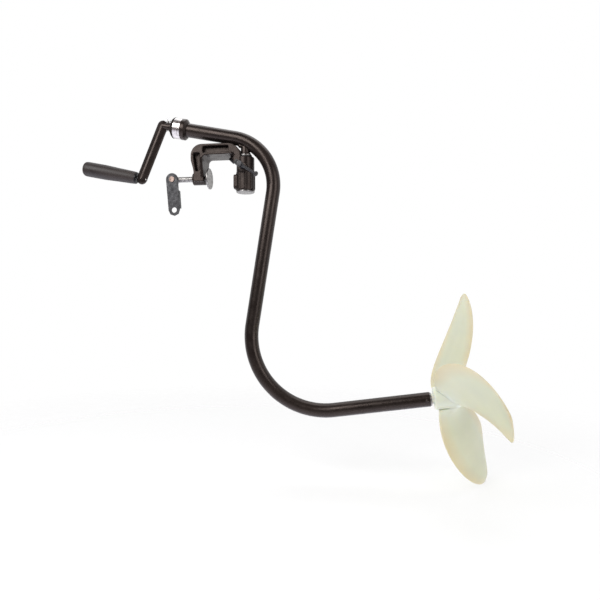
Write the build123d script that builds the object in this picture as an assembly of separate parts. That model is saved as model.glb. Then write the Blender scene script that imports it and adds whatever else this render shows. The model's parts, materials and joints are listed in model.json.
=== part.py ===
from build123d import *
import math
import os

# Hand-cranked outboard drive for a small boat, in millimetres.
# Origin: middle of the clamp bracket's seat, which rests on the top of the transom.
# +X aft (propeller side), +Z up, -X inboard (crank side). The bent tube lies in the XZ plane.

# ---------------------------------------------------------------- driving dimensions
tube_r = 12.7              # 1 inch tube, outer radius
tube_bore_r = 11.1
top_tilt = 11.5            # the crank run falls this many degrees towards the bend
bend_1_angle = 87.5
bend_1_r = 90.0
bend_2_angle = 107.0
bend_2_r = 132.0
straight_1 = 99.0
straight_2 = 242.0
straight_3 = 169.0

steer_x = 49.5             # steering axis, parallel to Z
bend_start_x = steer_x - 20.2
bend_start_z = 34.4

stem_r = 7.0               # steering stem under the tube
running_gap = 0.05         # radial clearance of a running fit

bridge_top = 22.5          # clamp casting
casting_half_width = 14.0
flange_half_width = 23.0
flange_t = 4.5
leg_inside_x = -25.5
leg_outside_x = -50.0
leg_neck_x = -44.5         # outer side of the leg where it meets the screw boss
leg_neck_z = -30.0
leg_bottom = -46.0
inner_corner_r = 7.0
elbow_r = 20.0
seat_end_x = 17.0          # the machined seat stops here, short of the set bolt
seat_relief = 0.6
column_top = -2.0
column_bottom = -64.0
column_r_top = 16.3
column_r_low = 17.2
jaw_top = -30.0
jaw_face_x = 29.5
bush_seat_r = 9.0          # steering bushes inside the column
counterbore_r = 12.5
lock_boss_r = 8.0
bolt_r = 3.0               # set bolt that takes up play of the steering bush
bolt_boss_r = 6.5

screw_z = -39.0            # clamp screw axis, parallel to X
screw_r = 5.0
screw_boss_r = 11.0
pad_r = 19.0
pad_face_x = -17.0
lever_pin_x = -88.0
lever_length = 57.0        # rivet to hole
lever_lean = 4.5           # degrees that the lever hangs towards the clamp
lever_top_half = 11.4
lever_low_half = 10.0
lever_face_y = -5.3        # back of the lever's face, just in front of the screw
lever_face_t = 2.4
lever_flange_depth = 8.0
lever_hole_r = 5.0

lock_z = -24.0             # steering lock screw axis, parallel to Y
lock_r = 4.0
t_bar_y = -44.0
t_bar_angle = 32.5         # the T-bar slopes down towards the stern
t_bar_half = 24.0
t_bar_slid = 13.5          # the T-bar has slid this far through its eye
t_bar_r = 2.5

crank_throw = 103.7        # crank axis to grip axis
arm_z = 41.5               # where the arm crosses the crank axis, from the tube's end
arm_lean = 20.6            # the grip end of the arm stands this much further out
arm_half_width = 10.0
arm_half_t = 6.0           # half thickness along the arm's middle
arm_edge_half_t = 2.4
grip_start = 73.8
grip_end = 178.3
crank_hub_r = 8.6
hub_neck_r = 6.6
hub_neck_z = 27.4
eye_z = 32.5               # the hub's cross pin and its pull ring
shaft_end = 36.0
ring_major = 3.6
ring_wire = 0.8

shaft_r = 5.0
out_shaft_r = 6.0
ball_r = 2.38
ball_count = 8
race_r = 10.0

blade_count = 3
blade_tip_r = 192.5
blade_root_r = 15.0
chord_terms = (52.0, 256.0, -165.0)
tip_power = 3.4
pitch_root = 50.3
pitch_tip = 10.6
skew = 0.20
lead = 0.04                # the blade's middle moves ahead by this share of the chord at the tip
rake_terms = (25.0, 45.5, 13.2)
blade_t_root = 9.0
blade_t_tip = 3.0
camber = 0.05
edge_share = 0.45          # edge thickness as a share of the middle
blade_phase = -41.2        # first blade, degrees from the upward direction towards -Y
hub_r = 20.0
hub_start = 6.0
hub_end = 58.0
blade_origin = 7.0


# ---------------------------------------------------------------- frames and helpers
def heading(degrees):
    """Unit vector in the XZ plane, measured from +X towards +Z."""
    return Vector(math.cos(math.radians(degrees)), 0, math.sin(math.radians(degrees)))


def side(degrees):
    """Unit vector 90 degrees to the left of a heading, in the XZ plane."""
    return heading(degrees + 90)


heading_1 = -top_tilt
heading_2 = heading_1 - bend_1_angle
heading_3 = heading_2 + bend_2_angle

bend_1_start = Vector(bend_start_x, 0, bend_start_z)
bend_1_centre = bend_1_start - side(heading_1) * bend_1_r
bend_1_end = bend_1_centre + side(heading_2) * bend_1_r
bend_2_start = bend_1_end + heading(heading_2) * straight_2
bend_2_centre = bend_2_start + side(heading_2) * bend_2_r
bend_2_end = bend_2_centre - side(heading_3) * bend_2_r
tube_top = bend_1_start - heading(heading_1) * straight_1
tube_low = bend_2_end + heading(heading_3) * straight_3

# local z points out of the tube at both ends
crank_frame = Plane(origin=tube_top, x_dir=side(heading_1), z_dir=-heading(heading_1))
prop_frame = Plane(origin=tube_low, x_dir=side(heading_3), z_dir=heading(heading_3))


def route(top_cut, low_cut):
    """Tube centreline, shortened by the two cuts at its ends."""
    start = tube_top + heading(heading_1) * top_cut
    end = tube_low - heading(heading_3) * low_cut
    mid_1 = bend_1_centre + side((heading_1 + heading_2) / 2) * bend_1_r
    mid_2 = bend_2_centre - side((heading_2 + heading_3) / 2) * bend_2_r
    edges = [
        Line(start, bend_1_start),
        ThreePointArc(bend_1_start, mid_1, bend_1_end),
        Line(bend_1_end, bend_2_start),
        ThreePointArc(bend_2_start, mid_2, bend_2_end),
        Line(bend_2_end, end),
    ]
    return Wire([edge.edge() for edge in edges])


def along_tube(outer, inner, top_cut, low_cut):
    """A pipe, or a rod when inner is 0, that follows the tube's centreline."""
    path = route(top_cut, low_cut)
    section = Circle(outer)
    if inner > 0:
        section -= Circle(inner)
    start = Plane(origin=path @ 0, z_dir=path % 0)
    return sweep(start * section, path=path)


def turned(profile):
    """Solid of revolution about local z from (radius, z) corners."""
    outline = Polyline(*[(r, 0, z) for r, z in profile], close=True)
    return revolve(make_face(outline), axis=Axis.Z)


def rod(radius, low, high):
    return Pos(0, 0, low) * Cylinder(radius, high - low, align=(Align.CENTER, Align.CENTER, Align.MIN))


def ring(outer, inner, low, high):
    return rod(outer, low, high) - rod(inner, low - 1, high + 1)


def upright(x, y=0.0):
    """Frame whose local z is the row's +Z."""
    return Location((x, y, 0))


along_x = Location(Plane(origin=(0, 0, screw_z), x_dir=(0, 1, 0), z_dir=(1, 0, 0)))
lock_frame = Location(Plane(origin=(steer_x, 0, lock_z), x_dir=(1, 0, 0), z_dir=(0, -1, 0)))
crank_place = Location(crank_frame)
prop_place = Location(prop_frame)

nodes = {}


# ---------------------------------------------------------------- clamp bracket
def casting_outline():
    """Side view of the C-shaped casting: leg, bridge and the elbow down to the column."""
    with BuildSketch(Plane.XZ) as outline:
        with BuildLine():
            Polyline((leg_inside_x, -inner_corner_r), (leg_inside_x, leg_bottom),
                     (leg_neck_x, leg_bottom), (leg_neck_x, leg_neck_z))
            Spline((leg_neck_x, leg_neck_z), (leg_outside_x, -4), (leg_outside_x, bridge_top - elbow_r),
                   tangents=((-0.05, 1), (0, 1)))
            RadiusArc((leg_outside_x, bridge_top - elbow_r), (leg_outside_x + elbow_r, bridge_top), elbow_r)
            Line((leg_outside_x + elbow_r, bridge_top), (18, bridge_top))
            ThreePointArc((18, bridge_top), (36, 15.5), (43.5, 2.0))
            Polyline((43.5, 2.0), (43.5, -14.0), (30.0, -14.0), (30.0, 0),
                     (leg_inside_x + inner_corner_r, 0))
            RadiusArc((leg_inside_x + inner_corner_r, 0), (leg_inside_x, -inner_corner_r), -inner_corner_r)
        make_face()
    return outline.sketch


def side_pockets():
    """Recesses in both faces of the casting, which leave a web in its middle."""
    web = 4.0
    leg_corners = Polyline((-45.5, 6.5), (-33.0, 6.5), (-33.0, -27.0), (-40.5, -27.0), close=True)
    leg_pocket = fillet(make_face(Plane.XZ * leg_corners).vertices(), 3)
    bridge_pocket = fillet((Plane.XZ * Pos(0, 12.0) * Rectangle(48, 12)).vertices(), 3)
    pockets = []
    for outline in (leg_pocket, Pos(-3.0, 0, 0) * bridge_pocket):
        for direction in (-1, 1):
            block = extrude(outline, amount=casting_half_width, dir=(0, direction, 0))
            pockets.append(Pos(0, direction * web, 0) * block)
    return pockets


def casting_flange():
    """Inner flange: wide under the bridge, and narrower down the leg."""
    corner_x = leg_inside_x + inner_corner_r
    with BuildSketch(Plane.XZ) as strip:
        with BuildLine():
            Line((30, 0), (corner_x, 0))
            RadiusArc((corner_x, 0), (leg_inside_x, -inner_corner_r), -inner_corner_r)
            Polyline((leg_inside_x, -inner_corner_r), (leg_inside_x, leg_bottom),
                     (leg_inside_x - flange_t, leg_bottom), (leg_inside_x - flange_t, -inner_corner_r))
            RadiusArc((leg_inside_x - flange_t, -inner_corner_r), (corner_x, flange_t),
                      inner_corner_r + flange_t)
            Polyline((corner_x, flange_t), (30, flange_t), (30, 0))
        make_face()
    flange = extrude(strip.sketch, amount=flange_half_width, both=True)
    taper = Polyline((-flange_half_width, 30), (flange_half_width, 30), (flange_half_width, -4),
                     (12, leg_bottom), (-12, leg_bottom), (-flange_half_width, -4), close=True)
    side_view = Plane(origin=(leg_outside_x, 0, 0), x_dir=(0, 1, 0), z_dir=(1, 0, 0))
    return flange & extrude(side_view * make_face(taper), amount=90)


def column_shell():
    """Outside of the steering column, with its jaw block and grip ribs."""
    edge = 1.5
    column = turned([(0, column_bottom), (column_r_low - edge, column_bottom),
                     (column_r_low, column_bottom + edge), (column_r_low, jaw_top - edge),
                     (column_r_top, jaw_top + edge), (column_r_top, column_top - edge),
                     (column_r_top - edge, column_top), (0, column_top)])
    shell = upright(steer_x) * column
    middle = (jaw_top + column_bottom) / 2
    rib = Pos(column_r_low - 0.2, 0, middle) * Box(2.4, 2.2, jaw_top - column_bottom - 6)
    jaw_block = fillet(Box(column_r_low, 22, jaw_top - column_bottom - 8).edges().filter_by(Axis.X), 4)
    shell = shell + Pos(jaw_face_x + column_r_low / 2, 0, middle) * jaw_block
    for k in range(7):
        shell = shell + upright(steer_x) * Rot(0, 0, 40 * (k - 3)) * rib
    return shell


def clamp_bracket():
    """One iron casting: I-section frame, screw boss and the round steering column."""
    frame = extrude(casting_outline(), amount=casting_half_width, both=True)
    body = frame + casting_flange()
    for pocket in side_pockets():
        body = body - pocket
    body = body + along_x * rod(screw_boss_r, leg_outside_x + 1.5, leg_inside_x)
    body = body + column_shell()
    body = body + lock_frame * rod(lock_boss_r, 12, 24) + corner_bolt_place * rod(bolt_boss_r, -6.6, 6)
    body = body - upright(steer_x) * rod(bush_seat_r, column_bottom - 1, column_top + 1)
    body = body - upright(steer_x) * rod(counterbore_r, column_bottom - 1, column_bottom + 8)
    body = body - upright(steer_x) * rod(counterbore_r + 0.1, column_top, bridge_top)
    body = body - along_x * rod(screw_r + running_gap, leg_outside_x - 10, leg_inside_x + 5)
    body = body - lock_frame * rod(lock_r + running_gap, 5, 30)
    body = body - corner_bolt_place * rod(bolt_r, -8, 14)
    relief_length = jaw_face_x - seat_end_x
    relief = Box(relief_length, 2 * flange_half_width + 2, 2 * seat_relief)
    return body - Pos(seat_end_x + relief_length / 2, 0, 0) * relief


# the set bolt stands square to the casting's inside corner
corner_bolt_place = Location(Plane(origin=(30.5, 0, -0.5), x_dir=(0, 1, 0), z_dir=(0.7071, 0, 0.7071)))


def hexagon(across_flats, low, high):
    return Pos(0, 0, low) * extrude(RegularPolygon(across_flats / 2, 6, major_radius=False), high - low)


nodes["clamp_bracket"] = clamp_bracket()
nodes["corner_bolt"] = corner_bolt_place * (rod(bolt_r, -9, 8.5) + hexagon(11, -11.6, -6.6))
nodes["upper_steering_bush"] = upright(steer_x) * (
    ring(bush_seat_r, stem_r + running_gap, column_top - 12, column_top)
    + ring(12.0, stem_r + running_gap, column_top, column_top + 2))
nodes["lower_steering_bush"] = upright(steer_x) * (
    ring(bush_seat_r, stem_r + running_gap, column_bottom + 8, column_bottom + 20)
    + ring(12.0, stem_r + running_gap, column_bottom + 6, column_bottom + 8))
cap_low = column_bottom - 2.6
nodes["column_cap"] = upright(steer_x) * (
    turned([(0, cap_low), (15.2, cap_low), (16.6, cap_low + 1.2), (16.6, column_bottom),
            (counterbore_r, column_bottom), (counterbore_r, column_bottom + 1.8),
            (10.8, column_bottom + 1.8), (10.8, column_bottom), (0, column_bottom)]))


# ---------------------------------------------------------------- tube and steering stem
nodes["main_tube"] = along_tube(tube_r, tube_bore_r, 0, 0)
tube_rod = along_tube(tube_r, 0, 0, 0)
stem_low = column_bottom + 2
groove_low = column_bottom + 3.3
groove_r = stem_r - 1.2
stem = (rod(stem_r, stem_low, 12) + rod(10.0, 1.7, 5.0) + rod(8.5, 5.0, 26)
        - ring(stem_r + 1, groove_r, groove_low, groove_low + 1.0))
# a welded saddle spreads the stem along the underside of the tube
saddle = fillet((Pos(-1.5, 0, 24) * Box(23, 15, 14)).edges().filter_by(Axis.Z), 4)
stem = stem + saddle
nodes["steering_stem"] = (upright(steer_x) * stem - tube_rod).solids().sort_by(Axis.Z)[0]
nodes["stem_thrust_washer"] = upright(steer_x) * ring(12.0, stem_r, 0.2, 1.7)
nodes["stem_lower_washer"] = upright(steer_x) * ring(11.5, stem_r, column_bottom + 4.5, column_bottom + 5.7)
nodes["stem_circlip"] = upright(steer_x) * (
    ring(10.0, groove_r, groove_low, groove_low + 1.0) - Pos(9, 0, 0) * Box(8, 3, 200))

# ---------------------------------------------------------------- crank bearing
sleeve_low = 2.0
sleeve_high = 15.5
bearing_low = 2.0
bearing_high = 11.0
bearing_mid = (bearing_low + bearing_high) / 2
cap_end = 21.5
nodes["bearing_housing"] = crank_place * turned(
    [(tube_r, -9), (14, -9), (19, -5), (19, sleeve_low), (9, sleeve_low), (9, 0), (tube_r, 0)])
nodes["bearing_sleeve"] = crank_place * ring(18.8, 15.0, sleeve_low, sleeve_high)
nodes["bearing_cap"] = crank_place * turned(
    [(8, bearing_high + 1.5), (12.5, bearing_high + 1.5), (12.5, bearing_high), (15, bearing_high),
     (15, sleeve_high), (19, sleeve_high), (19, 18), (15.5, cap_end), (8, cap_end)])
race_groove = crank_place * Pos(0, 0, bearing_mid) * Torus(race_r, ball_r + 0.1)
nodes["bearing_outer_ring"] = crank_place * ring(15.0, 11.6, bearing_low, bearing_high) - race_groove
nodes["bearing_inner_ring"] = crank_place * ring(8.4, shaft_r, bearing_low, bearing_high) - race_groove
balls = [Rot(0, 0, k * 360 / ball_count) * Pos(race_r, 0, bearing_mid) * Sphere(ball_r)
         for k in range(ball_count)]
nodes["bearing_balls"] = crank_place * Compound(children=[ball.solid() for ball in balls])
cage = ring(race_r + 0.7, race_r - 0.7, bearing_mid - 3.2, bearing_mid + 3.2)
for k in range(ball_count):
    pocket = Pos(race_r, 0, bearing_mid) * Rot(0, 90, 0) * Cylinder(ball_r + 0.1, 6)
    cage = cage - Rot(0, 0, k * 360 / ball_count) * pocket
nodes["bearing_cage"] = crank_place * cage
nodes["crank_shaft_seal"] = crank_place * ring(8.0, shaft_r + running_gap, 15.5, 20.5)

# ---------------------------------------------------------------- input shaft and drive cable
pin_r = 1.5
cross_pin = Pos(0, 0, eye_z) * Rot(0, 90, 0) * Cylinder(pin_r, 40)
cable_r = 4.0
nodes["input_shaft"] = crank_place * (
    rod(shaft_r, -22, shaft_end) + rod(6.5, -4, bearing_low)
    - ring(shaft_r + 1, shaft_r - 0.5, bearing_high, bearing_high + 1.0)
    - cross_pin)
nodes["shaft_circlip"] = crank_place * (
    ring(7.6, shaft_r - 0.5, bearing_high, bearing_high + 1.0) - Pos(6.5, 0, 0) * Box(6, 2, 60))
nodes["upper_coupler"] = crank_place * (
    rod(8.0, -36, -8) - rod(shaft_r, -22, 0) - rod(cable_r + running_gap, -40, -22))
nodes["drive_cable"] = along_tube(cable_r, 0, 22.5, 62.5)
nodes["cable_liner"] = along_tube(7.5, 4.9, 40, 90)
spacer_places = [
    (tube_top + heading(heading_1) * 55, heading(heading_1)),
    (bend_1_end + heading(heading_2) * 25, heading(heading_2)),
    (bend_1_end + heading(heading_2) * (straight_2 - 25), heading(heading_2)),
    (tube_low - heading(heading_3) * 105, heading(heading_3)),
]
spacers = [Location(Plane(origin=point, z_dir=way)) * ring(tube_bore_r, 7.5, -5, 5)
           for point, way in spacer_places]
nodes["liner_spacers"] = Compound(children=[spacer.solid() for spacer in spacers])

# ---------------------------------------------------------------- propeller shaft end
nodes["lower_shaft_bush"] = prop_place * (ring(tube_bore_r, out_shaft_r + running_gap, -24, 0)
                                          - Pos(0, 0, -6) * Rot(90, 0, 0) * Cylinder(2, 60))
nodes["propeller_shaft_seal"] = prop_place * ring(tube_bore_r, out_shaft_r + running_gap, -31, -24)
rivet = rod(2.0, 8.0, tube_r) + Pos(0, 0, tube_r - 0.4) * (Sphere(3.0) & rod(3.0, 0.4, 3.0))
rivets = [Pos(0, 0, -6) * Rot(90 * turn, 0, 0) * rivet for turn in (1, -1)]
nodes["bush_rivets"] = prop_place * Compound(children=[piece.solid() for piece in rivets])
rivet_holes = prop_place * Pos(0, 0, -6) * Rot(90, 0, 0) * Cylinder(2, 60)
nodes["main_tube"] = nodes["main_tube"] - rivet_holes
pin_z = 15.0
nodes["propeller_shaft"] = prop_place * (
    rod(out_shaft_r, -62, 74) - Pos(0, 0, pin_z) * Rot(90, 0, 0) * Cylinder(2.5, 60))
nodes["lower_coupler"] = prop_place * (
    rod(8.5, -84, -46) - rod(out_shaft_r, -62, -40) - rod(cable_r + running_gap, -90, -62))
nodes["thrust_washer"] = prop_place * ring(11.5, out_shaft_r, 0.3, 2.3)
nodes["spacer_bush"] = prop_place * ring(9.0, out_shaft_r, 2.3, hub_start)


# ---------------------------------------------------------------- propeller
def blade_chord(s):
    """Chord at fraction s of the span: a parabola, closed at the tip by a power curve."""
    c0, c1, c2 = chord_terms
    return (c0 + c1 * s + c2 * s * s) * math.sqrt(1 - s ** tip_power)


def blade_section(s, phase):
    """Flat closed section of one blade, square to the blade's radial line."""
    radius = blade_root_r + s * (blade_tip_r - blade_root_r)
    chord = blade_chord(s)
    pitch = math.radians(pitch_root + (pitch_tip - pitch_root) * s)
    a0, a1, a2 = rake_terms
    axial = blade_origin + a0 + a1 * s + a2 * s * s
    turn = math.radians(phase) + skew * s * s
    thickness = blade_t_root + (blade_t_tip - blade_t_root) * math.sqrt(s)
    thickness = min(thickness, 0.5 * chord)
    stations = [k / 8 - 0.5 for k in range(9)]
    corners = []
    for face in (1, -1):
        row = []
        for u in stations:
            along = (u + lead * s) * chord
            crown = 1 - 4 * u * u
            lift = face * 0.5 * thickness * (edge_share + (1 - edge_share) * crown) + camber * chord * crown
            across = along * math.cos(pitch) - lift * math.sin(pitch)
            height = axial + along * math.sin(pitch) + lift * math.cos(pitch)
            row.append(Vector(radius * math.cos(turn) - across * math.sin(turn),
                              radius * math.sin(turn) + across * math.cos(turn), height))
        corners.append(row)
    front, back = corners
    return Wire([Edge.make_spline(front), Edge.make_line(front[-1], back[-1]),
                 Edge.make_spline(back[::-1]), Edge.make_line(back[0], front[0])])


def blade(phase):
    count = 12
    stations = [1 - (1 - k / count) ** 2 for k in range(count)] + [0.9985]
    return Solid.make_loft([blade_section(s, phase) for s in stations])


hub = turned([(out_shaft_r, hub_start), (hub_r - 2, hub_start), (hub_r, hub_start + 2),
              (hub_r, hub_end - 14), (hub_r - 3, hub_end - 4), (hub_r - 7, hub_end),
              (out_shaft_r, hub_end)])
propeller = hub
for k in range(blade_count):
    propeller = propeller + blade(blade_phase + 360 / blade_count * k)
propeller = propeller - rod(out_shaft_r, hub_start - 5, hub_end + 30)
propeller = propeller - Pos(0, 0, pin_z) * Rot(90, 0, 0) * Cylinder(2.5, 2 * hub_r - 4)
nodes["propeller"] = prop_place * propeller
nodes["drive_pin"] = prop_place * Pos(0, 0, pin_z) * Rot(90, 0, 0) * Cylinder(2.5, 2 * hub_r - 4)
nodes["propeller_washer"] = prop_place * ring(11.0, out_shaft_r, hub_end, hub_end + 1.6)
nodes["propeller_nut"] = prop_place * (hexagon(18, hub_end + 1.6, hub_end + 11.6)
                                       - rod(out_shaft_r, hub_end, hub_end + 12))

# ---------------------------------------------------------------- crank
arm_length = math.hypot(arm_lean, crank_throw)
# local x of the arm frame runs from the hub to the grip, local y across its face
arm_place = crank_place * Location(Plane(origin=(0, 0, arm_z),
                                         x_dir=(-crank_throw, 0, arm_lean), z_dir=(0, 1, 0)))


def crank_arm():
    """Bar with round ends, thicker along its middle than at its edges."""
    blank = Pos(arm_length / 2, 0, 0) * extrude(
        SlotCenterToCenter(arm_length, 2 * arm_half_width), amount=arm_half_t, both=True)
    roof = Polyline((0, -arm_half_width, -arm_edge_half_t), (0, 0, -arm_half_t),
                    (0, arm_half_width, -arm_edge_half_t), (0, arm_half_width, arm_edge_half_t),
                    (0, 0, arm_half_t), (0, -arm_half_width, arm_edge_half_t), close=True)
    bar = extrude(make_face(roof), amount=arm_length + 2 * arm_half_width, dir=(1, 0, 0))
    return blank & (Pos(-arm_half_width, 0, 0) * bar)


arm = arm_place * crank_arm()
spindle_place = crank_place * Pos(-crank_throw, 0, 0)
spindle_r = 3.0
crank_hub = rod(crank_hub_r, cap_end + 0.8, hub_neck_z) + rod(hub_neck_r, hub_neck_z - 1, arm_z)
crank_hub = crank_hub - rod(shaft_r, cap_end, shaft_end) - cross_pin
nodes["crank_hub"] = crank_place * crank_hub - arm
eye_r = 2.3
eye_room = Pos(0, 0, eye_z) * Rot(0, 90, 0) * rod(eye_r + 0.2, 0, 2 * hub_neck_r)
shaft_room = rod(shaft_r, cap_end, shaft_end)
nodes["crank_arm"] = (arm - spindle_place * rod(spindle_r, 40, 100)
                      - crank_place * (cross_pin + eye_room + shaft_room))
# the pin's eye has a flared hole, so that the ring can swing in it
eye_start = hub_neck_r + 0.2
eye_hole_x = eye_start + 1.9
hole_major = ring_major + ring_wire + 0.25
flared_hole = Cylinder(hole_major, 6) - Torus(hole_major, ring_major)
eye = Rot(0, 90, 0) * rod(eye_r, eye_start, eye_hole_x + 1.9) - Pos(eye_hole_x, 0, 0) * flared_hole
nodes["hub_pin"] = crank_place * Pos(0, 0, eye_z) * (Rot(0, 90, 0) * rod(pin_r, -8.5, eye_start) + eye)
nodes["pin_ring"] = (crank_place * Pos(eye_hole_x + ring_major, 0, eye_z) * Rot(90, 0, 0)
                     * Torus(ring_major, ring_wire))
spindle_end = grip_end - 14.5
nodes["grip_spindle"] = spindle_place * (
    rod(spindle_r, arm_z + arm_lean - arm_half_width + 0.5, spindle_end)
    + rod(5.0, grip_start, spindle_end) + rod(6.5, spindle_end, spindle_end + 4))
nodes["grip_washer"] = spindle_place * ring(10.6, spindle_r, grip_start - 1.2, grip_start - 0.2)
bore_r = 5.05
head_room_r = 6.7
grip_profile = [(bore_r, grip_start), (11.0, grip_start), (11.6, grip_start + 6),
                (12.6, grip_start + 35), (13.8, grip_start + 60), (13.8, grip_end - 7),
                (13.2, grip_end - 3), (11.4, grip_end - 0.8), (8.0, grip_end), (0, grip_end),
                (0, spindle_end + 6), (head_room_r, spindle_end + 6), (head_room_r, spindle_end - 0.5),
                (bore_r, spindle_end - 0.5)]
nodes["crank_grip"] = spindle_place * turned(grip_profile)

# ---------------------------------------------------------------- clamp screw, pad and lever
ball_joint_x = leg_inside_x + 3.0
pad = turned([(0, pad_face_x), (pad_r, pad_face_x), (pad_r, pad_face_x - 2.5),
              (11, pad_face_x - 3.5), (7.5, ball_joint_x + 0.4), (0, ball_joint_x + 0.4)])
pad_socket = rod(4.2, ball_joint_x - 3, pad_face_x - 2.0)
nodes["swivel_pad"] = along_x * (pad - pad_socket)
eye_width = 17.0
eye_end = Pos(lever_pin_x + 2.5, 0, screw_z) * Box(eye_width, 2 * screw_r, 13)
eye_end = fillet(eye_end.edges().filter_by(Axis.Y), 5)
rivet_place = Pos(lever_pin_x, 0, screw_z) * Rot(90, 0, 0)
rivet_r = 3.0
clamp_screw = along_x * (rod(screw_r, lever_pin_x, ball_joint_x)
                         + rod(4.1, ball_joint_x, pad_face_x - 2.3)) + eye_end
nodes["clamp_screw"] = clamp_screw - rivet_place * Cylinder(rivet_r + running_gap, 60)


def lever_outline(margin):
    """Lever seen from the front, drawn in by a margin: round at the rivet, clipped at the hole end."""
    low = lever_low_half - margin
    top = Circle(lever_top_half - margin)
    tail = Pos(0, -lever_length) * RegularPolygon(low, 8, major_radius=False)
    return make_hull([*top.edges(), *tail.edges()])


def clamp_lever():
    """Pressed folding lever: a flat face with two flanges bent back along its sides."""
    face_plane = Plane(origin=(0, lever_face_y, 0), x_dir=(1, 0, 0), z_dir=(0, -1, 0))
    face = extrude(face_plane * lever_outline(0), amount=lever_face_t)
    rim = lever_outline(0) - lever_outline(2.0)
    rim = rim & (Pos(0, -(lever_length + 10) / 2 - 4) * Rectangle(40, lever_length - 24))
    flanges = extrude(face_plane * rim, amount=-lever_flange_depth)
    hole = Pos(0, 0, -lever_length) * Rot(90, 0, 0) * Cylinder(lever_hole_r, 60)
    pin_hole = Rot(90, 0, 0) * Cylinder(rivet_r, 60)
    return Pos(lever_pin_x, 0, screw_z) * Rot(0, -lever_lean, 0) * (face + flanges - hole - pin_hole)


nodes["clamp_lever"] = clamp_lever()
face_front = -lever_face_y + lever_face_t
nodes["lever_rivet"] = rivet_place * (
    rod(rivet_r, -screw_r - 1.2, face_front + 1.2)
    + ring(5.0, 2.0, face_front, face_front + 1.7) + ring(5.0, 2.0, -screw_r - 1.6, -screw_r))

# ---------------------------------------------------------------- steering lock screw
nodes["lock_pad"] = lock_frame * rod(3.5, stem_r + 0.1, 11.0)
t_bar_depth = -t_bar_y
lock_screw = rod(lock_r, 11.3, t_bar_depth - 6) + rod(5.2, t_bar_depth - 7, t_bar_depth + 5)
t_bar_place = lock_frame * Location((0, 0, t_bar_depth), (0, 0, -t_bar_angle))
cross = Rot(0, 90, 0)
nodes["lock_screw"] = lock_frame * lock_screw - t_bar_place * cross * Cylinder(t_bar_r + running_gap, 40)
cap_length = 5.0
bar_low = t_bar_slid - t_bar_half
bar_high = t_bar_slid + t_bar_half
nodes["lock_t_bar"] = t_bar_place * cross * rod(t_bar_r, bar_low + 1.5, bar_high - 1.5)


def bar_cap():
    """Rounded cap with a blind hole for the bar's end."""
    return turned([(0, 0), (2.6, 0), (4.2, 1.4), (4.6, 3.0), (4.6, cap_length),
                   (t_bar_r, cap_length), (t_bar_r, 1.5), (0, 1.5)])


cap_pair = [Pos(0, 0, bar_low) * bar_cap(), Pos(0, 0, bar_high) * Rot(180, 0, 0) * bar_cap()]
nodes["t_bar_caps"] = t_bar_place * cross * Compound(children=[cap.solid() for cap in cap_pair])

# ---------------------------------------------------------------- files
os.makedirs("parts", exist_ok=True)
for name, shape in nodes.items():
    export_step(shape, os.path.join("parts", name + ".step"))
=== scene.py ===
import json
import math

import bmesh
import bpy
import numpy as np
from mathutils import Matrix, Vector


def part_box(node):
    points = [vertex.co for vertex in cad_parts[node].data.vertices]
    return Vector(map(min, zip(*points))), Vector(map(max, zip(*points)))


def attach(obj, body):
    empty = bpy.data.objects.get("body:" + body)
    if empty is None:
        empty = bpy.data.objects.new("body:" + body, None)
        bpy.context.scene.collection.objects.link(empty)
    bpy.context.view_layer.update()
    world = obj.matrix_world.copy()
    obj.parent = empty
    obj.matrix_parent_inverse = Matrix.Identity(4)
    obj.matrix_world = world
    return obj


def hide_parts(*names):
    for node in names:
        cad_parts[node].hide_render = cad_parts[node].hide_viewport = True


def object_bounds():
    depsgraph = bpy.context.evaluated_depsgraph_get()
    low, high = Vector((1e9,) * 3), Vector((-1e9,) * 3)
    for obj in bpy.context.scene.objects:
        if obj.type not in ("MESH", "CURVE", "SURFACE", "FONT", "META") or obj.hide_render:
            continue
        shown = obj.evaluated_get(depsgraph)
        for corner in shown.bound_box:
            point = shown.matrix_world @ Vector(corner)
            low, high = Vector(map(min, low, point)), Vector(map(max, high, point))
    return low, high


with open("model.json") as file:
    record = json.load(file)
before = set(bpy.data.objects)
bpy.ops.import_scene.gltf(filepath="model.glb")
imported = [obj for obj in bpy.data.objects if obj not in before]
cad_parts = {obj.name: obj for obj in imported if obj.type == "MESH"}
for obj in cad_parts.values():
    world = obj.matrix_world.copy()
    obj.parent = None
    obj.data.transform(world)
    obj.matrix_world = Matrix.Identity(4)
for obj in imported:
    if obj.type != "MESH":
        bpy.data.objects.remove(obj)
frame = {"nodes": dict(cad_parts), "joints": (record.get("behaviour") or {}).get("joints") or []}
cad_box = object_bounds()

MM = 0.001
joints = {joint["name"]: joint for joint in frame["joints"]}

# ---------------------------------------------------------------- driving sizes, in metres
TUBE_R = 0.0127
TUBE_BORE_R = 0.0111
TOP_RUN = 0.099
LOW_RUN = 0.169
BEND_1_R = 0.090
BEND_1_ANGLE = math.radians(87.5)
BEND_2_R = 0.132
BEND_2_ANGLE = math.radians(107.0)
CRANK_THROW = 0.1037
ARM_Z = 0.0415
ARM_LEAN = 0.0206
ARM_HALF_WIDTH = 0.010
ARM_EDGE = 0.0024
ARM_RIDGE = 0.0036
FLANGE_R = 0.019
SLEEVE_R = 0.0188
SLEEVE_GROOVE_R = 0.0186
CAP_SEAT_R = 0.015
CAP_FACE_R = 0.0155
HOUSING_START = -0.009
HOUSING_END = 0.002
SLEEVE_END = 0.0155
CAP_END = 0.0215
RING_R = 0.0036
RING_WIRE_R = 0.0008
GRIP_START = 0.0738
GRIP_END = 0.1783
GRIP_R = 0.0138
GRIP_BORE_R = 0.0052
GRIP_BORE_END = 0.0900
HUB_R = 0.020
HUB_BORE_R = 0.0061
HUB_START = 0.006
HUB_END = 0.058
SPINDLE_R = 0.006
SPINDLE_START = -0.040
SPINDLE_END = 0.074
PAD_R = 0.0190
PAD_BACK = -0.0170
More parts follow.
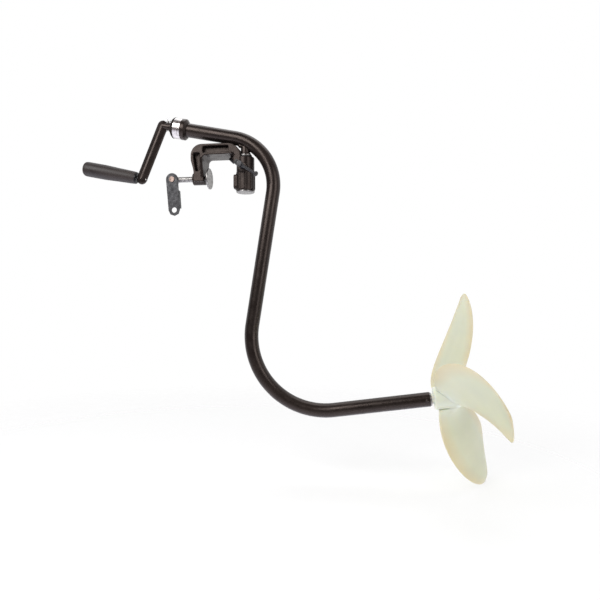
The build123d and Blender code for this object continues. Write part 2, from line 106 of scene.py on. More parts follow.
CAMERA_TURN = math.radians(8.0)
CAMERA_DISTANCE = 0.990
CAMERA_LENS = 33.0
CAMERA_SENSOR = 36
VIEW_CENTRE = (0.150, 0.0, -0.262)
FLOOR_HALF = 3.0
FLOOR_GAP = 0.001


# ---------------------------------------------------------------- frames
def axis_frame(joint_name, across):
    """Origin and the local x, y, z directions of a hinge: z is its axis, y is across, x is y cross z."""
    joint = joints[joint_name]
    z = np.array(joint["axis"], float)
    z /= np.linalg.norm(z)
    y = np.array(across, float)
    return np.array(joint["pos_m"], float), np.cross(y, z), y, z


def placed(points, place):
    """Local points carried into the object's frame: origin + x*X + y*Y + z*Z."""
    origin, x, y, z = place
    return origin + points[..., :1] * x + points[..., 1:2] * y + points[..., 2:3] * z


CRANK = axis_frame("crank_turn", (0, 1, 0))
PROP = axis_frame("propeller_turn", (0, -1, 0))
SCREW_Z = joints["clamp_screw_turn"]["pos_m"][2]
X_AXIS = np.array((1.0, 0, 0))
Y_AXIS = np.array((0, 1.0, 0))
Z_AXIS = np.array((0, 0, 1.0))
SCREW = (np.array((0, 0, SCREW_Z)), Y_AXIS, Z_AXIS, X_AXIS)
GRIP = (CRANK[0] - CRANK_THROW * CRANK[1], CRANK[1], CRANK[2], CRANK[3])


# ---------------------------------------------------------------- building meshes from grids
def grid_faces(rows, columns, wrap_rows, wrap_columns, first):
    """Quads between neighbouring grid points, as one index array."""
    i = np.arange(rows if wrap_rows else rows - 1)[:, None]
    j = np.arange(columns if wrap_columns else columns - 1)[None, :]
    i_next = (i + 1) % rows
    j_next = (j + 1) % columns
    quads = np.stack([i * columns + j, i * columns + j_next, i_next * columns + j_next,
                      i_next * columns + j], axis=-1)
    return quads.reshape(-1, 4) + first


def piece(name, surfaces, material, body, replaced=(), smooth_angle=40, attributes=None):
    """One object from (points, wrap_rows, wrap_columns) grids, with seams and poles welded."""
    points = []
    faces = []
    total = 0
    for grid, wrap_rows, wrap_columns in surfaces:
        rows, columns = grid.shape[:2]
        points.append(grid.reshape(-1, 3))
        faces.append(grid_faces(rows, columns, wrap_rows, wrap_columns, total))
        total += rows * columns
    points = np.concatenate(points)
    faces = np.concatenate(faces)
    mesh = bpy.data.meshes.new(name)
    mesh.from_pydata(points.tolist(), [], faces.tolist())
    for key, values in (attributes or {}).items():
        layer = mesh.attributes.new(key, "FLOAT", "POINT")
        layer.data.foreach_set("value", np.concatenate([np.ravel(value) for value in values]))
    weld = bmesh.new()
    weld.from_mesh(mesh)
    bmesh.ops.remove_doubles(weld, verts=weld.verts, dist=1e-6)
    bmesh.ops.dissolve_degenerate(weld, edges=weld.edges, dist=1e-7)
    bmesh.ops.recalc_face_normals(weld, faces=weld.faces)
    weld.to_mesh(mesh)
    weld.free()
    mesh.polygons.foreach_set("use_smooth", np.ones(len(mesh.polygons), bool))
    mesh.set_sharp_from_angle(angle=math.radians(smooth_angle))
    mesh.materials.append(material)
    made = bpy.data.objects.new(name, mesh)
    bpy.context.scene.collection.objects.link(made)
    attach(made, body)
    if replaced:
        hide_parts(*replaced)


def rounded(corners, radius, closed=False, steps=4):
    """Outline with each corner turned into a short parabola, and a holding point either side of it."""
    corners = np.array(corners, float)
    count = len(corners)
    out = []
    for k in range(count):
        here = corners[k]
        if not closed and k in (0, count - 1):
            out.append(here[None])
            continue
        before = corners[k - 1] - here
        after = corners[(k + 1) % count] - here
        reach_before = min(radius, 0.4 * np.linalg.norm(before))
        reach_after = min(radius, 0.4 * np.linalg.norm(after))
        start = here + before / np.linalg.norm(before) * reach_before
        end = here + after / np.linalg.norm(after) * reach_after
        t = np.linspace(0, 1, steps + 1)[:, None]
        curve = (1 - t) ** 2 * start + 2 * t * (1 - t) * here + t ** 2 * end
        hold_start = start + before / np.linalg.norm(before) * 0.2 * reach_before
        hold_end = end + after / np.linalg.norm(after) * 0.2 * reach_after
        out += [hold_start[None], curve, hold_end[None]]
    return np.concatenate(out)


def turned(outline, place, closed=False, steps=96):
    """Surface of revolution: each (r, z) outline point goes round to (r cos a, r sin a, z)."""
    a = np.linspace(0, 2 * math.pi, steps, endpoint=False)
    r = outline[:, :1]
    z = np.repeat(outline[:, 1:2], steps, axis=1)
    local = np.stack([r * np.cos(a), r * np.sin(a), z], axis=-1)
    return placed(local, place), closed, True


def torus(major, minor, centre, plane_x, plane_y, steps=(96, 20)):
    """Ring: a circle of radius minor carried round a circle of radius major."""
    a = np.linspace(0, 2 * math.pi, steps[0], endpoint=False)[:, None]
    b = np.linspace(0, 2 * math.pi, steps[1], endpoint=False)[None, :]
    out = np.cross(plane_x, plane_y)
    radial = np.cos(a)[..., None] * plane_x + np.sin(a)[..., None] * plane_y
    points = centre + radial * (major + minor * np.cos(b))[..., None] + out * (minor * np.sin(b))[..., None]
    return points, True, True


def softened(node, voxel, passes, material, body):
    """Cast or pressed piece: the CAD shape's copy, remeshed finely and relaxed so its edges round off."""
    source = frame["nodes"][node]
    mesh = source.data.copy()
    mesh.name = node + "_soft"
    weld = bmesh.new()
    weld.from_mesh(mesh)
    bmesh.ops.remove_doubles(weld, verts=weld.verts, dist=1e-6)
    weld.to_mesh(mesh)
    weld.free()
    made = bpy.data.objects.new(node + "_soft", mesh)
    bpy.context.scene.collection.objects.link(made)
    remesh = made.modifiers.new("remesh", "REMESH")
    remesh.mode = "VOXEL"
    remesh.voxel_size = voxel
    relax = made.modifiers.new("relax", "SMOOTH")
    relax.factor = 0.5
    relax.iterations = passes
    evaluated = made.evaluated_get(bpy.context.evaluated_depsgraph_get())
    finished = bpy.data.meshes.new_from_object(evaluated)
    made.modifiers.clear()
    made.data = finished
    finished.materials.clear()
    finished.materials.append(material)
    finished.polygons.foreach_set("use_smooth", np.ones(len(finished.polygons), bool))
    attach(made, body)
    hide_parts(node)


# ---------------------------------------------------------------- materials
def linked(tree, kind, inputs=None, **settings):
    """A node with its settings and plain input values filled in."""
    node = tree.nodes.new(kind)
    for key, value in settings.items():
        setattr(node, key, value)
    for key, value in (inputs or {}).items():
        node.inputs[key].default_value = value
    return node


def ramp(tree, source, stops):
    """Colour ramp fed by a value; stops are (position, colour)."""
    node = tree.nodes.new("ShaderNodeValToRGB")
    while len(node.color_ramp.elements) < len(stops):
        node.color_ramp.elements.new(0.5)
    for element, (position, colour) in zip(node.color_ramp.elements, stops):
        element.position = position
        element.color = (*colour, 1)
    tree.links.new(source, node.inputs["Fac"])
    return node.outputs["Color"]


def noise(tree, coordinates, scale, detail=4.0, stretch=None, roughness=0.5):
    """Noise in object coordinates; stretch scales each axis first."""
    if stretch is not None:
        mapping = linked(tree, "ShaderNodeMapping", {"Scale": stretch})
        tree.links.new(coordinates, mapping.inputs["Vector"])
        coordinates = mapping.outputs["Vector"]
    node = linked(tree, "ShaderNodeTexNoise", {"Scale": scale, "Detail": detail, "Roughness": roughness})
    tree.links.new(coordinates, node.inputs["Vector"])
    return node.outputs["Fac"]


def remapped(tree, source, low, high, to_low, to_high):
    """Value carried from low..high to to_low..to_high and held at the ends."""
    node = linked(tree, "ShaderNodeMapRange",
                  {"From Min": low, "From Max": high, "To Min": to_low, "To Max": to_high})
    tree.links.new(source, node.inputs["Value"])
    return node.outputs["Result"]


def bumped(tree, shader, height, strength, distance, below=None):
    """Bump from a height, laid over the bump below if there is one, and fed to the shader."""
    node = linked(tree, "ShaderNodeBump", {"Strength": strength, "Distance": distance})
    tree.links.new(height, node.inputs["Height"])
    if below is not None:
        tree.links.new(below, node.inputs["Normal"])
    tree.links.new(node.outputs["Normal"], shader.inputs["Normal"])
    return node.outputs["Normal"]


def mixed(tree, factor, first, second):
    """Colour between the first (factor 0) and the second (factor 1)."""
    node = tree.nodes.new("ShaderNodeMix")
    node.data_type = "RGBA"
    tree.links.new(factor, node.inputs["Factor"])
    for source, socket in ((first, node.inputs[6]), (second, node.inputs[7])):
        if isinstance(source, tuple):
            socket.default_value = (*source, 1)
        else:
            tree.links.new(source, socket)
    return node.outputs[2]


def new_material(name, **values):
    """Material with a Principled shader whose uniform values are set on the shader itself."""
    material = bpy.data.materials.new(name)
    material.use_nodes = True
    tree = material.node_tree
    shader = tree.nodes["Principled BSDF"]
    for key, value in values.items():
        shader.inputs[key.replace("_", " ")].default_value = value
    coordinates = tree.nodes.new("ShaderNodeTexCoord").outputs["Object"]
    return material, tree, shader, coordinates


def black_paint(name, tone, warmth, roughness, peel, cast=0.0, wear=0.0, level=0.5):
    """Black paint: cloudy dark colour, orange peel, fine dust specks, and casting grain or worn edges."""
    material, tree, shader, where = new_material(name, Specular_IOR_Level=level)
    shader.inputs["Specular Tint"].default_value = (1.0, 0.82, 0.74, 1)
    clouds = noise(tree, where, 35, 5)
    dark = (tone * 0.75, tone * 0.75 * warmth, tone * 0.70 * warmth)
    light = (tone * 1.35, tone * 1.30 * warmth, tone * 1.15 * warmth)
    colour = ramp(tree, clouds, ((0.3, dark), (0.7, light)))
    specks = noise(tree, where, 900, 2)
    speck_mask = remapped(tree, specks, 0.70, 0.78, 0.0, 0.2)
    colour = mixed(tree, speck_mask, colour, (0.08, 0.07, 0.06))
    if wear:
        pointy = tree.nodes.new("ShaderNodeNewGeometry").outputs["Pointiness"]
        worn = remapped(tree, pointy, 0.53, 0.60, 0.0, wear)
        patchy = linked(tree, "ShaderNodeMath", operation="MULTIPLY")
        tree.links.new(worn, patchy.inputs[0])
        tree.links.new(remapped(tree, noise(tree, where, 140, 6), 0.42, 0.62, 0.0, 1.0), patchy.inputs[1])
        colour = mixed(tree, patchy.outputs[0], colour, (0.10, 0.085, 0.075))
    tree.links.new(colour, shader.inputs["Base Color"])
    smears = noise(tree, where, 60, 6, roughness=0.65)
    tree.links.new(remapped(tree, smears, 0.3, 0.75, roughness * 0.7, roughness * 1.5),
                   shader.inputs["Roughness"])
    below = None
    if cast:
        below = bumped(tree, shader, noise(tree, where, 420, 4), cast, 0.0004)
    bumped(tree, shader, noise(tree, where, 260, 2), peel, 0.0003, below)
    return material


def bare_metal(name, tone, roughness, scratches, spots=0.0, stretch=(60, 60, 1400), metallic=1.0):
    """Metal with turning or rolling lines, faint stains and uneven roughness."""
    material, tree, shader, where = new_material(name, Metallic=metallic)
    stains = noise(tree, where, 120, 5)
    dark = tuple(channel * 0.72 for channel in tone)
    colour = ramp(tree, stains, ((0.35, dark), (0.62, tone)))
    if spots:
        mask = remapped(tree, noise(tree, where, 300, 3), 0.50, 0.62, 0.0, spots)
        colour = mixed(tree, mask, colour, tuple(0.45 * channel for channel in tone))
    tree.links.new(colour, shader.inputs["Base Color"])
    lines = noise(tree, where, 1.0, 3, stretch)
    tree.links.new(remapped(tree, lines, 0.3, 0.7, roughness * 0.75, roughness * 1.4),
                   shader.inputs["Roughness"])
    bumped(tree, shader, lines, scratches, 0.0002)
    return material


def moulded(name, dark, light, roughness, grain_scale, grain, **values):
    """Plastic or rubber: soft colour drift, moulded grain in the bump and the roughness."""
    material, tree, shader, where = new_material(name, **values)
    colour = ramp(tree, noise(tree, where, 40, 4), ((0.3, dark), (0.7, light)))
    tree.links.new(colour, shader.inputs["Base Color"])
    fine = noise(tree, where, grain_scale, 3)
    tree.links.new(remapped(tree, fine, 0.3, 0.7, roughness * 0.85, roughness * 1.15),
                   shader.inputs["Roughness"])
    bumped(tree, shader, fine, grain, 0.0003)
    return material


def grip_plastic():
    """Brown-black handle plastic with fine lengthwise draw lines and rubbed, paler patches."""
    material, tree, shader, where = new_material("grip plastic", Specular_IOR_Level=0.45)
    rubbed = noise(tree, where, 28, 5)
    colour = ramp(tree, rubbed, ((0.32, (0.018, 0.013, 0.012)), (0.68, (0.034, 0.025, 0.022))))
    tree.links.new(colour, shader.inputs["Base Color"])
    tree.links.new(remapped(tree, rubbed, 0.3, 0.7, 0.42, 0.58), shader.inputs["Roughness"])
    grain = bumped(tree, shader, noise(tree, where, 1500, 3), 0.35, 0.0002)
    bumped(tree, shader, noise(tree, where, 1.0, 2, (90, 700, 700)), 0.18, 0.0003, grain)
    return material


def propeller_plastic():
    """Translucent cream moulding: greyer in streaks, a painted warm shade (tan) along the blade edges and
    tips standing in for light seen through the plastic, pale at the hub.
    """
    material, tree, shader, where = new_material(
        "propeller plastic", Subsurface_Weight=0.35, Subsurface_Scale=0.010, IOR=1.47)
    shader.inputs["Subsurface Radius"].default_value = (1.0, 0.8, 0.45)
    drift = ramp(tree, noise(tree, where, 7, 3), ((0.3, (0.55, 0.58, 0.43)), (0.7, (0.66, 0.68, 0.51))))
    flow = noise(tree, where, 12, 4, (1.0, 1.0, 2.5))
    colour = mixed(tree, remapped(tree, flow, 0.42, 0.72, 0.0, 0.35), drift, (0.50, 0.55, 0.44))
    # painted warm shade: tan mixed in along the blade edges and tips, standing in for light seen through the
    # plastic
    painted_edge_shade = linked(tree, "ShaderNodeAttribute", attribute_name="painted_edge_shade").outputs["Fac"]
    colour = mixed(tree, remapped(tree, painted_edge_shade, 0.55, 1.0, 0.0, 0.55), colour, (0.62, 0.48, 0.30))
    root = linked(tree, "ShaderNodeAttribute", attribute_name="root").outputs["Fac"]
    colour = mixed(tree, remapped(tree, root, 0.25, 1.0, 0.0, 0.7), colour, (0.78, 0.82, 0.70))
    tree.links.new(colour, shader.inputs["Base Color"])
    tree.links.new(remapped(tree, noise(tree, where, 16, 1), 0.3, 0.7, 0.30, 0.38),
                   shader.inputs["Roughness"])
    bumped(tree, shader, noise(tree, where, 38, 3), 0.08, 0.0008)
    return material


TUBE_PAINT = black_paint("tube paint", 0.014, 0.80, 0.27, 0.015, level=0.40)
CASTING_PAINT = black_paint("casting paint", 0.014, 0.80, 0.30, 0.05, cast=0.10, wear=0.4, level=0.28)
CRANK_PAINT = black_paint("crank paint", 0.014, 0.80, 0.28, 0.03, wear=0.4, level=0.42)
CAP_PAINT = black_paint("cap paint", 0.014, 0.80, 0.50, 0.04, level=0.15)
GRIP_PLASTIC = grip_plastic()
PROPELLER_PLASTIC = propeller_plastic()
BRIGHT_ALUMINIUM = bare_metal("turned aluminium", (0.66, 0.63, 0.62), 0.24, 0.35)
BRIGHT_STEEL = bare_metal("polished steel", (0.66, 0.66, 0.68), 0.18, 0.12)
ZINC = bare_metal("dull zinc", (0.36, 0.35, 0.34), 0.36, 0.4, spots=1.0, stretch=(260, 260, 260))
WORN_STEEL = bare_metal("worn brown steel", (0.20, 0.15, 0.13), 0.34, 0.2, spots=0.5,
                        stretch=(300, 300, 300))
DARK_STEEL = bare_metal("pressed dark steel", (0.055, 0.055, 0.058), 0.42, 0.12, spots=0.2,
                        stretch=(160, 160, 160), metallic=0.8)
BLACK_PLASTIC = moulded("cap plastic", (0.018, 0.018, 0.018), (0.035, 0.034, 0.033), 0.45, 900, 0.2)
SEAL_RUBBER = moulded("seal rubber", (0.016, 0.016, 0.016), (0.03, 0.03, 0.03), 0.7, 1200, 0.3)
NYLON = moulded("turned nylon", (0.72, 0.69, 0.60), (0.84, 0.82, 0.75), 0.45, 500, 0.15,
                Subsurface_Weight=0.2, Subsurface_Scale=0.003)
BRONZE = bare_metal("sintered bronze", (0.62, 0.44, 0.22), 0.36, 0.2, spots=0.3,
                    stretch=(300, 300, 300))
CABLE_STEEL = bare_metal("cable steel", (0.38, 0.38, 0.40), 0.35, 0.5, stretch=(900, 900, 900))


# ---------------------------------------------------------------- tube
def arc(start, way, radius, angle, count):
    """Points and directions of an arc in the XZ plane; angle is positive to the left of way."""
    side = math.copysign(1, angle)
    left = np.array((-way[2], 0, way[0]))
    centre = start + left * radius * side
    a = np.linspace(0, abs(angle), count)[:, None]
    points = centre - left * side * radius * np.cos(a) + way * radius * np.sin(a)
    ways = way * np.cos(a) + left * side * np.sin(a)
    return points, ways


def centreline():
    """Tube axis from the crank end to the propeller end: run, bend, run, bend, run."""
    way = -CRANK[3]
    bend_1_start = CRANK[0] + way * TOP_RUN
    bend_1, ways_1 = arc(bend_1_start, way, BEND_1_R, -BEND_1_ANGLE, 49)
    bend_2_end = PROP[0] - PROP[3] * LOW_RUN
    backward, ways_2 = arc(bend_2_end, -PROP[3], BEND_2_R, -BEND_2_ANGLE, 61)
    bend_2 = backward[::-1]
    ways_2 = -ways_2[::-1]
    runs = []
    directions = []
    for start, end, count in ((CRANK[0], bend_1_start, 16), (bend_1[-1], bend_2[0], 36),
                              (bend_2_end, PROP[0], 26)):
        t = np.linspace(0, 1, count)[:, None]
        runs.append(start + (end - start) * t)
        directions.append(np.repeat((end - start)[None] / np.linalg.norm(end - start), count, axis=0))
    points = np.concatenate([runs[0][:-1], bend_1, runs[1][1:-1], bend_2, runs[2][1:]])
    ways = np.concatenate([directions[0][:-1], ways_1, directions[1][1:-1], ways_2, directions[2][1:]])
    return points, ways


def pipe(points, ways, outer, inner, steps=72):
    """Pipe wall: the outer circle carried forwards, then the inner one carried back, as one closed sheet."""
    a = np.linspace(0, 2 * math.pi, steps, endpoint=False)[None, :, None]
    left = np.stack([-ways[:, 2], np.zeros(len(ways)), ways[:, 0]], axis=1)[:, None]
    spoke = np.cos(a) * left + np.sin(a) * Y_AXIS
    lip = 0.25 * MM
    forwards = points[:, None] + outer * spoke
    backwards = (points[:, None] + inner * spoke)[::-1]
    inset_start = points[:1, None] + (outer - lip) * spoke[:1]
    inset_end = points[-1:, None] + (outer - lip) * spoke[-1:]
    forwards[0] += ways[0] * lip
    forwards[-1] -= ways[-1] * lip
    return np.concatenate([inset_start, forwards, inset_end, backwards]), True, True


line_points, line_ways = centreline()
piece("tube_skin", [pipe(line_points, line_ways, TUBE_R, TUBE_BORE_R)], TUBE_PAINT, "tube",
      ["main_tube"])

# ---------------------------------------------------------------- crank bearing
# the outlines are (radius, distance along the crank's axis) points
housing = rounded(((TUBE_R, HOUSING_START), (0.014, HOUSING_START), (FLANGE_R, -0.005),
                   (FLANGE_R, HOUSING_END), (0.009, HOUSING_END), (0.009, 0), (TUBE_R, 0)),
                  0.8 * MM, closed=True)
piece("housing_flange", [turned(housing, CRANK, closed=True)], CRANK_PAINT, "tube",
      ["bearing_housing"])
sleeve = rounded(((CAP_SEAT_R, HOUSING_END), (SLEEVE_R, HOUSING_END), (SLEEVE_R, 0.0062),
                  (SLEEVE_GROOVE_R, 0.0066), (SLEEVE_GROOVE_R, 0.0078), (SLEEVE_R, 0.0082),
                  (SLEEVE_R, SLEEVE_END), (CAP_SEAT_R, SLEEVE_END)), 0.3 * MM, closed=True)
piece("bright_sleeve", [turned(sleeve, CRANK, closed=True)], BRIGHT_ALUMINIUM, "tube",
      ["bearing_sleeve"])
cap = rounded(((0.008, 0.0125), (0.0125, 0.0125), (0.0125, 0.011), (CAP_SEAT_R, 0.011),
               (CAP_SEAT_R, SLEEVE_END), (FLANGE_R, SLEEVE_END), (FLANGE_R, 0.018), (CAP_FACE_R, CAP_END),
               (0.008, CAP_END)), 0.6 * MM, closed=True)
piece("bearing_front_cap", [turned(cap, CRANK, closed=True)], CAP_PAINT, "tube",
      ["bearing_cap"])

# ---------------------------------------------------------------- crank grip
grip_line = rounded(((0.0110, GRIP_START), (0.0116, 0.0798), (0.0126, 0.1088), (GRIP_R, 0.1338),
                     (GRIP_R, 0.1713), (0.0132, 0.1753), (0.0114, 0.1775), (0.0080, GRIP_END),
                     (0, GRIP_END)), 4 * MM, steps=6)
inner_lip = np.array(((0, GRIP_BORE_END), (GRIP_BORE_R, GRIP_BORE_END), (GRIP_BORE_R, 0.0744),
                      (0.0060, GRIP_START)))
grip_outline = np.concatenate([inner_lip, grip_line])
piece("crank_handle", [turned(grip_outline, GRIP)], GRIP_PLASTIC, "grip", ["crank_grip"])


# ---------------------------------------------------------------- crank arm
def arm_surface():
    """Bar with round ends: half width falls as a circle at each end; the section is a rounded slab with a
    low ridge along its middle, half thickness = edge + ridge * (1 - |share of the half width|)."""
    length = math.hypot(CRANK_THROW, ARM_LEAN)
    half = ARM_HALF_WIDTH
    end = 1 - np.cos(np.linspace(0, math.pi / 2, 18))
    along = np.concatenate([half * (end - 1), np.linspace(0, length, 40)[1:-1],
                            length + half * (1 - end[::-1])])
    over = np.maximum(np.maximum(-along, along - length), 0)
    width = np.sqrt(np.maximum(half ** 2 - over ** 2, 0))[:, None]
    a = np.linspace(0, 2 * math.pi, 72, endpoint=False)[None, :]
    across = np.sign(np.cos(a)) * np.abs(np.cos(a)) ** 0.55
    lift = np.sign(np.sin(a)) * np.abs(np.sin(a)) ** 0.40
    thick = ARM_EDGE + ARM_RIDGE * np.sqrt((1 - np.abs(across)) ** 2 + 0.001)
    blunt = np.minimum(1, (width / half) ** 0.25)
    local = np.stack([along[:, None] + 0 * a, across * width, lift * thick * blunt], axis=-1)
    way = (-CRANK_THROW * CRANK[1] + ARM_LEAN * CRANK[3]) / length
    place = (CRANK[0] + ARM_Z * CRANK[3], way, np.cross(Y_AXIS, way), Y_AXIS)
    return placed(local, place), False, True


piece("crank_bar", [arm_surface()], CRANK_PAINT, "crank", ["crank_arm"])
softened("crank_hub", 0.45 * MM, 4, CRANK_PAINT, "crank")
ring_low, ring_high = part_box("pin_ring")
ring_centre = np.array((ring_low + ring_high) / 2)
piece("pull_ring_wire", [torus(RING_R, RING_WIRE_R, ring_centre, CRANK[1], CRANK[3])], BRIGHT_STEEL,
      "pull_ring", ["pin_ring"])


# ---------------------------------------------------------------- propeller
BLADE_TIP_R = 0.1922
BLADE_ROOT_R = 0.015
CHORD = (0.052, 0.256, -0.165)
TIP_POWER = 3.4
PITCH = (math.radians(50.3), math.radians(10.6))
SKEW = 0.20
LEAD = 0.04
RAKE = (0.025, 0.0455, 0.0132)
BLADE_T = (0.009, 0.003)
CAMBER = 0.05
EDGE_SHARE = 0.45
BLADE_ORIGIN = 0.007
BLADE_PHASE = math.radians(-41.2)


def blade(phase):
    """Blade as a closed sheet: s runs from root to tip, a goes round the section. The chord is a parabola
    in s closed by sqrt(1 - s^n); the pitch falls evenly; the section is a cambered lens with round edges."""
    k = np.linspace(0, 1, 90)[:, None]
    s = 1 - (1 - k) ** 2
    a = np.linspace(0, 2 * math.pi, 80, endpoint=False)[None, :]
    radius = BLADE_ROOT_R + s * (BLADE_TIP_R - BLADE_ROOT_R)
    chord = (CHORD[0] + CHORD[1] * s + CHORD[2] * s * s) * np.sqrt(np.maximum(1 - s ** TIP_POWER, 0))
    pitch = PITCH[0] + (PITCH[1] - PITCH[0]) * s
    turn = phase + SKEW * s * s
    thickness = BLADE_T[0] + (BLADE_T[1] - BLADE_T[0]) * np.sqrt(s)
    thickness = np.minimum(thickness, 0.5 * chord)
    fillet = 9.0 * MM * np.exp(-np.maximum(radius - HUB_R, 0) / (5.0 * MM))
    crown = np.sin(a) ** 2
    along = chord * (0.5 * np.cos(a) + LEAD * s)
    half = 0.5 * (thickness * (EDGE_SHARE + (1 - EDGE_SHARE) * crown) + fillet * crown)
    lift = half * np.sign(np.sin(a)) * np.abs(np.sin(a)) ** 0.3 + CAMBER * chord * crown
    across = along * np.cos(pitch) - lift * np.sin(pitch)
    height = BLADE_ORIGIN + RAKE[0] + RAKE[1] * s + RAKE[2] * s * s
    height = height + along * np.sin(pitch) + lift * np.cos(pitch)
    local = np.stack([radius * np.cos(turn) - across * np.sin(turn),
                      radius * np.sin(turn) + across * np.cos(turn), height], axis=-1)
    core = np.repeat(local[:1].mean(axis=1, keepdims=True), local.shape[1], axis=1)
    local = np.concatenate([core, local])
    # share of painted warm shade: 1 at the blade edges and towards the tip, for the tan of light seen
    # through the plastic
    painted_edge_shade = np.maximum(np.abs(np.cos(a)), s ** 6) + 0 * s
    root = np.exp(-np.maximum(radius - HUB_R, 0) / 0.03) + 0 * a
    painted_edge_shade = np.concatenate([painted_edge_shade[:1], painted_edge_shade])
    root = np.concatenate([root[:1], root])
    return (placed(local, PROP), False, True), painted_edge_shade, root


hub_line = rounded(((HUB_BORE_R, HUB_START), (0.018, HUB_START), (HUB_R, 0.008), (HUB_R, 0.044),
                    (0.017, 0.054), (0.013, HUB_END), (HUB_BORE_R, HUB_END)), 2 * MM, closed=True, steps=5)
hub = turned(hub_line, PROP, closed=True)
blades = [blade(BLADE_PHASE + k * 2 * math.pi / 3) for k in range(3)]
# share of painted warm shade on each surface: a little on the hub, the computed share on the blades
painted_edge_shades = [0.3 * np.ones(hub[0].shape[:2])] + [painted_edge_shade for _, painted_edge_shade, _ in blades]
roots = [np.ones(hub[0].shape[:2])] + [root for _, _, root in blades]
piece("propeller_moulding", [hub] + [surface for surface, _, _ in blades], PROPELLER_PLASTIC, "propeller",
      ["propeller"], smooth_angle=60, attributes={"painted_edge_shade": painted_edge_shades, "root": roots})
shaft_line = rounded(((0, SPINDLE_START), (SPINDLE_R, SPINDLE_START), (SPINDLE_R, SPINDLE_END),
                      (0, SPINDLE_END)), 0.8 * MM)
piece("propeller_spindle", [turned(shaft_line, PROP)], BRIGHT_STEEL, "propeller",
      ["propeller_shaft"])

# ---------------------------------------------------------------- clamp
# node, voxel size, smoothing passes
softened("clamp_bracket", 0.75 * MM, 5, CASTING_PAINT, "bracket")
softened("clamp_lever", 0.45 * MM, 3, DARK_STEEL, "clamp_lever")
softened("steering_stem", 0.6 * MM, 3, TUBE_PAINT, "tube")
softened("corner_bolt", 0.35 * MM, 2, DARK_STEEL, "bracket")
softened("lock_screw", 0.4 * MM, 3, DARK_STEEL, "lock_screw")
softened("t_bar_caps", 0.35 * MM, 4, BLACK_PLASTIC, "lock_bar")
softened("clamp_screw", 0.45 * MM, 2, ZINC, "clamp_screw")
pad_line = rounded(((0.0072, -0.0221), (0.0108, -0.0205), (PAD_R, -0.0195), (PAD_R, PAD_BACK),
                    (0.0150, PAD_BACK), (0.0140, -0.0176), (0, -0.0176)), 0.7 * MM)
pad_outline = np.concatenate([[[0, -0.0215]], pad_line])
piece("clamp_pad_disc", [turned(pad_outline, SCREW)], ZINC, "clamp_pad", ["swivel_pad"])

# ---------------------------------------------------------------- finishes of the carried nodes
node_finish = {
    ZINC: ("stem_thrust_washer", "stem_lower_washer", "upper_coupler", "lower_coupler", "thrust_washer",
           "hub_pin", "grip_spindle", "column_cap"),
    WORN_STEEL: ("lever_rivet",),
    BLACK_PLASTIC: ("upper_steering_bush",),
    NYLON: ("lower_steering_bush", "cable_liner", "liner_spacers", "spacer_bush", "lock_pad"),
    BRIGHT_STEEL: ("bearing_outer_ring", "bearing_inner_ring", "bearing_balls", "input_shaft", "drive_pin",
                   "propeller_washer", "propeller_nut"),
    DARK_STEEL: ("stem_circlip", "shaft_circlip", "lock_t_bar", "grip_washer"),
    SEAL_RUBBER: ("crank_shaft_seal", "propeller_shaft_seal"),
    BRONZE: ("bearing_cage", "lower_shaft_bush"),
    CABLE_STEEL: ("drive_cable",),
    TUBE_PAINT: ("bush_rivets",),
}
for material, names in node_finish.items():
    for name in names:
        mesh = frame["nodes"][name].data
        mesh.materials.clear()
        mesh.materials.append(material)


# ---------------------------------------------------------------- floor, light and camera
def floor_sheet(level):
    """Half clear white floor that fades out with distance, so that no line shows behind it."""
    corner = np.array(((-1, -1), (1, -1), (1, 1), (-1, 1))) * FLOOR_HALF
    points = np.concatenate([corner, np.full((4, 1), level)], axis=1)
    mesh = bpy.data.meshes.new("floor")
    mesh.from_pydata(points.tolist(), [], [(0, 1, 2, 3)])
    material, tree, shader, where = new_material("floor white", Roughness=0.8)
    shader.inputs["Base Color"].default_value = (0.96, 0.96, 0.96, 1)
    mesh.materials.append(material)
    made = bpy.data.objects.new("floor", mesh)
    bpy.context.scene.collection.objects.link(made)
    distance = linked(tree, "ShaderNodeVectorMath", operation="LENGTH")
    tree.links.new(where, distance.inputs[0])
    fade = remapped(tree, distance.outputs["Value"], 0.6, 1.3, 0.5, 0.0)
    tree.links.new(fade, shader.inputs["Alpha"])


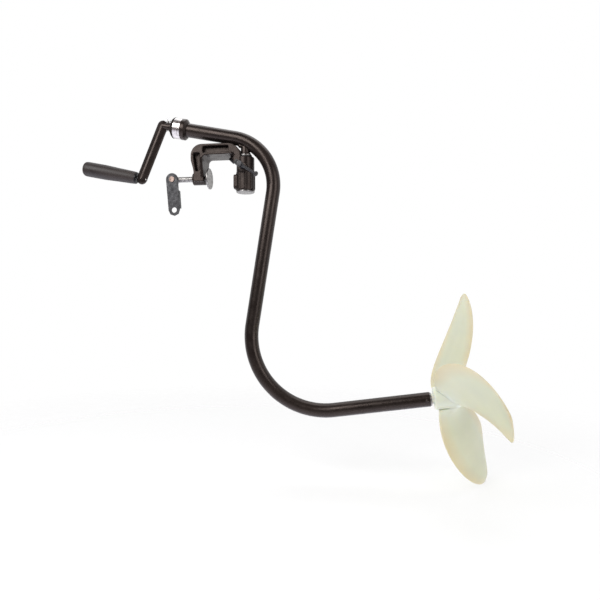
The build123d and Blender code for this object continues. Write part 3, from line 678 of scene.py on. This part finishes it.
def softbox(name, location, target, size, power):
    """Rectangular white lamp that faces its target."""
    lamp = bpy.data.lights.new(name, "AREA")
    lamp.shape = "RECTANGLE"
    lamp.size, lamp.size_y = size
    lamp.energy = power
    made = bpy.data.objects.new(name, lamp)
    made.location = location
    made.rotation_mode = "QUATERNION"
    made.rotation_quaternion = (Vector(target) - Vector(location)).to_track_quat("-Z", "Y")
    bpy.context.scene.collection.objects.link(made)


def studio_world():
    """Seen directly the world is white; as light it is white behind and below, and a dim brown in front."""
    world = bpy.data.worlds.new("studio")
    bpy.context.scene.world = world
    world.use_nodes = True
    tree = world.node_tree
    background = tree.nodes["Background"]
    where = tree.nodes.new("ShaderNodeTexCoord").outputs["Generated"]
    parts = tree.nodes.new("ShaderNodeSeparateXYZ")
    tree.links.new(where, parts.inputs[0])
    depth = ramp(tree, remapped(tree, parts.outputs["Y"], -1.0, 1.0, 0.0, 1.0),
                 ((0.0, (0.10, 0.07, 0.06)), (0.35, (0.13, 0.10, 0.09)), (0.55, (0.80, 0.82, 0.86)),
                  (0.9, (1.0, 1.0, 1.0))))
    below = remapped(tree, parts.outputs["Z"], -0.75, -0.35, 1.0, 0.0)
    light = mixed(tree, below, depth, (1.8, 1.8, 2.05))
    direct = tree.nodes.new("ShaderNodeLightPath").outputs["Is Camera Ray"]
    tree.links.new(mixed(tree, direct, light, (1.0, 1.0, 1.0)), background.inputs["Color"])
    background.inputs["Strength"].default_value = 1.0


floor_sheet(cad_box[0][2] - FLOOR_GAP)
studio_world()
middle = Vector(VIEW_CENTRE)
softbox("key", (-0.9, -1.9, 0.9), middle, (1.6, 1.4), 45)
softbox("fill", (1.7, -1.3, 0.1), middle, (1.0, 1.6), 14)
softbox("top", (0.2, 0.5, 1.7), middle, (2.0, 1.2), 10)

camera = bpy.data.cameras.new("camera")
camera.sensor_width = CAMERA_SENSOR
camera.lens = CAMERA_LENS
camera_object = bpy.data.objects.new("camera", camera)
bpy.context.scene.collection.objects.link(camera_object)
ahead = Vector((-math.sin(CAMERA_TURN), math.cos(CAMERA_TURN), 0))
camera_object.location = middle - ahead * CAMERA_DISTANCE
camera_object.rotation_mode = "QUATERNION"
camera_object.rotation_quaternion = ahead.to_track_quat("-Z", "Y")
bpy.context.scene.camera = camera_object
bpy.context.scene.view_settings.view_transform = "Standard"
